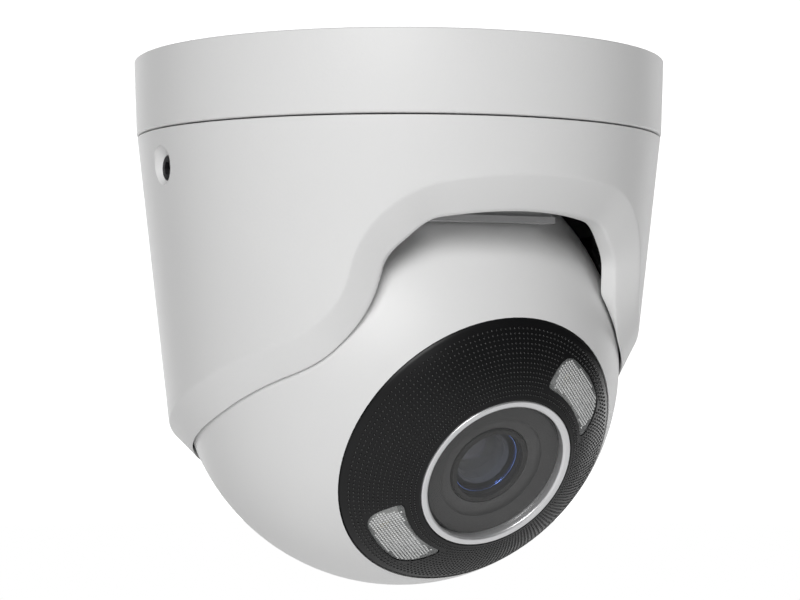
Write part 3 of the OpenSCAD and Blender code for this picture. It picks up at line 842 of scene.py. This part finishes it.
def phosphor(place):
    powder = place.grain(0.15, 3)
    colour = powder.blend((0.80, 0.62, 0.20, 1), (0.90, 0.78, 0.38, 1))
    return place.node("ShaderNodeBsdfPrincipled", inputs={
        "Base Color": colour, "Roughness": 0.35 + powder * 0.2, "Coat Weight": 0.4})


def solder_mask(place):
    weave = place.grain(0.5, 2)
    tracks = place.node("ShaderNodeTexBrick", {"offset": 0.35, "squash": 1.0}, {
        "Vector": place, "Scale": 260.0, "Mortar Size": 0.06, "Color1": (0.012, 0.10, 0.045, 1),
        "Color2": (0.014, 0.12, 0.055, 1), "Mortar": (0.03, 0.20, 0.10, 1)})
    return place.node("ShaderNodeBsdfPrincipled", inputs={
        "Base Color": tracks, "Roughness": 0.32 + weave * 0.12, "Coat Weight": 0.3})


reflector_metal = finish_of("metallised_reflector", metallised)
board_mask = finish_of("solder_mask", solder_mask)
for node in ("reflector_upper", "reflector_lower"):
    wear(node, reflector_metal)
wear("led_chips", finish_of("phosphor", phosphor))
for node in ("light_board", "sensor_board", "main_board", "power_board"):
    wear(node, board_mask)


# ------------------------------------------------------- bezel, front glass
# A turned ring with a satin chrome finish holds the round front glass on its
# black seal. The glass has a ground edge and a dark ring printed behind it.

def satin_chrome(place):
    centred = place.node("ShaderNodeVectorMath", {"operation": "SUBTRACT"}, {0: place, 1: EYE.translation})
    along = place.node("ShaderNodeVectorMath", {"operation": "DOT_PRODUCT"}, {
        0: centred, 1: EYE_AXIS}, output=1)
    size = place.node("ShaderNodeVectorMath", {"operation": "LENGTH"}, {0: centred}, output=1)
    radius = place.maths("SQRT", size * size - along * along)
    turning = place.maths("SINE", radius * 42000)
    bump = place.node("ShaderNodeBump", inputs={"Strength": 0.12, "Distance": 0.00001, "Height": turning})
    worn = place.grain(3, 3)
    colour = worn.blend((0.78, 0.78, 0.79, 1), (0.88, 0.88, 0.89, 1))
    return place.node("ShaderNodeBsdfPrincipled", inputs={
        "Base Color": colour, "Metallic": 0.75, "Roughness": 0.3 + worn * 0.1, "Normal": bump})


bezel_lip = [(17.77, 46.6), (16.6, 46.5), (16.15, 46.15), (16.15, 45.6), (16.5, 45.5)]
bezel_outline = softened([(14.2, 42), (17.77, 42)] + bezel_lip + [(16.5, 43), (14.2, 43)],
                         [0.1, 0.2, 0.4, 0.15, 0.15, 0.1, 0.1, 0.1, 0.1])
bezel = turned("bezel_chrome_ring", bezel_outline, finish_of("satin_chrome", satin_chrome), EYE)
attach(bezel, "eyeball")
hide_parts("bezel_ring")


def clear_glass(place):
    """Glass as a thin clear sheet: its faces mirror by angle, and the rest passes."""
    mirror = place.node("ShaderNodeBsdfPrincipled", inputs={
        "Base Color": (1.0, 1.0, 1.0, 1), "Metallic": 1.0, "Roughness": 0.03})
    passing = place.node("ShaderNodeBsdfTransparent", inputs={"Color": (0.95, 0.95, 0.95, 1)})
    smear = place.grain(7, 2)
    outside = 1 - place.node("ShaderNodeNewGeometry", output=6)
    share = (place.node("ShaderNodeFresnel", inputs={"IOR": 1.5}) + smear * 0.01) * outside
    return place.node("ShaderNodeMixShader", inputs={0: share, 1: passing, 2: mirror})


ground_edge = [(16.4, 43.95), (16.4, 44.8), (15.95, 44.85), (15.6, 45.3)]
glass_outline = softened([(0, 43.95)] + ground_edge + [(0, 45.3)], [0, 0.1, 0.08, 0.06, 0.08, 0])
front_glass = turned("front_glass_disc", glass_outline, finish_of("front_glass", clear_glass), EYE, angle=20)
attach(front_glass, "eyeball")
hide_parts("front_glass")


def printed_ink(place):
    dots = place.grain(0.12, 2)
    colour = dots.blend((0.030, 0.030, 0.030, 1), (0.034, 0.034, 0.034, 1))
    return place.node("ShaderNodeBsdfPrincipled", inputs={
        "Base Color": colour, "Roughness": 0.6 + dots * 0.1})


mask = turned("front_glass_print", [(12.1, 43.96), (16.3, 43.96), (16.3, 43.99), (12.1, 43.99)],
              finish_of("printed_ink", printed_ink), EYE)
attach(mask, "eyeball")
wear("glass_seal", black_rubber)


# -------------------------------------------------------------- lens group
# A black anodised barrel screws into its mount and holds three coated glass
# elements and an iris. A foam collar round it keeps the lights' glare out.

def collar_foam(place):
    cells = place.node("ShaderNodeTexVoronoi", inputs={"Vector": place, "Scale": 2600.0})
    colour = cells.blend((0.070, 0.070, 0.070, 1), (0.095, 0.095, 0.095, 1))
    bump = place.node("ShaderNodeBump", inputs={"Strength": 0.2, "Distance": 0.0001, "Height": cells})
    return place.node("ShaderNodeBsdfPrincipled", inputs={
        "Base Color": colour, "Roughness": 0.9, "Normal": bump})


def anodised(place):
    fine = place.grain(0.18, 3)
    colour = fine.blend((0.014, 0.014, 0.015, 1), (0.030, 0.030, 0.031, 1))
    return place.node("ShaderNodeBsdfPrincipled", inputs={
        "Base Color": colour, "Roughness": 0.38 + fine * 0.15})


def coated_glass(tint, reflected, grazing, strength):
    """Lens glass: an antireflection coating tints what it mirrors, most at a slant."""
    def paint(place):
        slant = place.node("ShaderNodeLayerWeight", inputs={"Blend": 0.35}, output=1)
        mirror = place.node("ShaderNodeBsdfPrincipled", inputs={
            "Base Color": slant.blend(reflected, grazing), "Metallic": 1.0, "Roughness": 0.06})
        passing = place.node("ShaderNodeBsdfTransparent", inputs={"Color": tint})
        film = place.grain(2.2, 2)
        outside = 1 - place.node("ShaderNodeNewGeometry", output=6)
        share = (place.node("ShaderNodeFresnel", inputs={"IOR": 1.6}) * strength + film * 0.008) * outside
        return place.node("ShaderNodeMixShader", inputs={0: share, 1: passing, 2: mirror})
    return paint


wear("light_baffle", finish_of("collar_foam", collar_foam))
anodised_black = finish_of("black_anodised", anodised)
for node in ("lens_barrel", "iris_ring", "lens_holder"):
    wear(node, anodised_black)


def blackout(place):
    fine = place.grain(0.18, 3)
    colour = fine.blend((0.004, 0.004, 0.004, 1), (0.009, 0.009, 0.009, 1))
    return place.node("ShaderNodeBsdfPrincipled", inputs={
        "Base Color": colour, "Roughness": 0.5 + fine * 0.2})


wear("lens_retainer", finish_of("blackout_ring", blackout))


# A thin ring round the front element's edge, coloured metallic blue: a painted reflection that stands in for
# the blue glint of the lens coating.
def painted_blue_reflection(place):
    reflection_mottle = place.grain(0.8, 2)
    colour = reflection_mottle.blend((0.10, 0.18, 0.60, 1), (0.25, 0.42, 0.95, 1))
    return place.node("ShaderNodeBsdfPrincipled", inputs={
        "Base Color": colour, "Metallic": 1.0, "Roughness": 0.16 + reflection_mottle * 0.05})


# The ring that carries the painted blue reflection sits just outside the front element's rim.
reflection_ring_section = [(7.45 + 0.14 * math.cos(k * math.pi / 6), 41.3 + 0.14 * math.sin(k * math.pi / 6))
               for k in range(12)]
reflection_ring = turned("front_element_painted_reflection_ring", reflection_ring_section, finish_of("painted_coating_reflection", painted_blue_reflection), EYE, segments=160)
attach(reflection_ring, "eyeball")
front_coating = coated_glass((0.86, 0.87, 0.90, 1), (0.80, 0.80, 0.78, 1), (0.25, 0.45, 1.0, 1), 1.6)
middle_coating = coated_glass((0.86, 0.86, 0.88, 1), (0.75, 0.74, 0.78, 1), (0.45, 0.30, 1.0, 1), 1.5)
rear_coating = coated_glass((0.86, 0.87, 0.88, 1), (0.6, 0.75, 0.72, 1), (0.3, 0.9, 0.8, 1), 1.5)
wear("front_element", finish_of("lens_front", front_coating))
wear("middle_element", finish_of("lens_middle", middle_coating))
wear("rear_element", finish_of("lens_rear", rear_coating))


# ------------------------------------------------- sensor, filter, boards
# Behind the lens lie the infrared filter's slide with its coil, the image
# sensor on its board, a cast heat spreader, and two round circuit boards with
# their chips, sockets, transformer and capacitors.

def moulded(dark, light, rough=0.5, size=0.6):
    """A moulded or potted part in one colour with its fine mottling."""
    def paint(place):
        mottle = place.grain(size, 3)
        bump = place.node("ShaderNodeBump", inputs={"Strength": 0.3, "Distance": 0.00004, "Height": mottle})
        return place.node("ShaderNodeBsdfPrincipled", inputs={
            "Base Color": mottle.blend(dark, light), "Roughness": rough + mottle * 0.15, "Normal": bump})
    return paint


def plated(dark, light, rough=0.25):
    """Plated or bright metal with faint handling marks."""
    def paint(place):
        marks = place.grain(1.2, 4)
        return place.node("ShaderNodeBsdfPrincipled", inputs={
            "Base Color": marks.blend(dark, light), "Metallic": 1.0, "Roughness": rough + marks * 0.2})
    return paint


def wound_wire(place):
    down = place.node("ShaderNodeVectorMath", {"operation": "DOT_PRODUCT"}, {0: place, 1: EYE_UP}, output=1)
    turns = place.maths("SINE", down * 26000)
    colour = (turns * 0.5 + 0.5).blend((0.30, 0.10, 0.03, 1), (0.72, 0.34, 0.14, 1))
    bump = place.node("ShaderNodeBump", inputs={"Strength": 0.8, "Distance": 0.0001, "Height": turns})
    return place.node("ShaderNodeBsdfPrincipled", inputs={
        "Base Color": colour, "Metallic": 0.8, "Roughness": 0.35, "Normal": bump})


steel_screw = finish_of("zinc_screw", plated((0.42, 0.42, 0.43, 1), (0.60, 0.60, 0.61, 1)))
for node in ("sensor_screws", "board_screws", "chassis_screws", "rear_screws"):
    wear(node, steel_screw)
wear("chassis", cast_metal)
wear("rear_cover", cast_metal)
filter_coating = coated_glass((0.80, 0.62, 0.66, 1), (1.0, 0.5, 0.5, 1), (1.0, 0.3, 0.4, 1), 1.5)
wear("filter_slide", finish_of("filter_glass", filter_coating))
wear("filter_coil", finish_of("wound_copper", wound_wire))
image_sensor_paint = moulded((0.05, 0.06, 0.075, 1), (0.10, 0.12, 0.14, 1), 0.2)
wear("image_sensor", finish_of("sensor_ceramic", image_sensor_paint))
wear("heat_pad", finish_of("heat_pad", moulded((0.32, 0.46, 0.56, 1), (0.42, 0.56, 0.66, 1), 0.8)))
chip_resin = finish_of("chip_resin", moulded((0.018, 0.018, 0.018, 1), (0.035, 0.035, 0.035, 1), 0.55, 0.2))
wear("processor", chip_resin)
wear("memory_chips", chip_resin)
connector_nylon = finish_of("connector_nylon", moulded((0.70, 0.67, 0.58, 1), (0.80, 0.78, 0.70, 1)))
wear("board_connectors", connector_nylon)
ribbon_cable_paint = moulded((0.66, 0.68, 0.70, 1), (0.80, 0.81, 0.82, 1), 0.45, 1.3)
wear("ribbon_cable", finish_of("ribbon", ribbon_cable_paint))
card_socket_paint = plated((0.55, 0.55, 0.55, 1), (0.74, 0.74, 0.74, 1), 0.2)
wear("card_socket", finish_of("socket_steel", card_socket_paint))
memory_card_paint = moulded((0.02, 0.02, 0.03, 1), (0.04, 0.04, 0.055, 1), 0.45)
wear("memory_card", finish_of("card_plastic", memory_card_paint))
reset_button_paint = moulded((0.02, 0.02, 0.02, 1), (0.04, 0.04, 0.04, 1), 0.4)
wear("reset_button", finish_of("button_black", reset_button_paint))
microphone_paint = plated((0.62, 0.50, 0.26, 1), (0.78, 0.66, 0.40, 1), 0.22)
wear("microphone", finish_of("microphone_can", microphone_paint))
board_spacers_paint = plated((0.58, 0.42, 0.18, 1), (0.76, 0.60, 0.30, 1))
wear("board_spacers", finish_of("spacer_brass", board_spacers_paint))
transformer_paint = moulded((0.62, 0.44, 0.08, 1), (0.78, 0.60, 0.16, 1), 0.3, 2.0)
wear("transformer", finish_of("transformer_tape", transformer_paint))
capacitors_paint = moulded((0.03, 0.04, 0.12, 1), (0.05, 0.07, 0.18, 1), 0.3, 2.0)
wear("capacitors", finish_of("capacitor_sleeve", capacitors_paint))
wear("rear_seal", black_rubber)
cable_gland_paint = moulded((0.02, 0.02, 0.02, 1), (0.045, 0.045, 0.045, 1), 0.5, 0.4)
wear("cable_gland", finish_of("gland_nylon", cable_gland_paint))
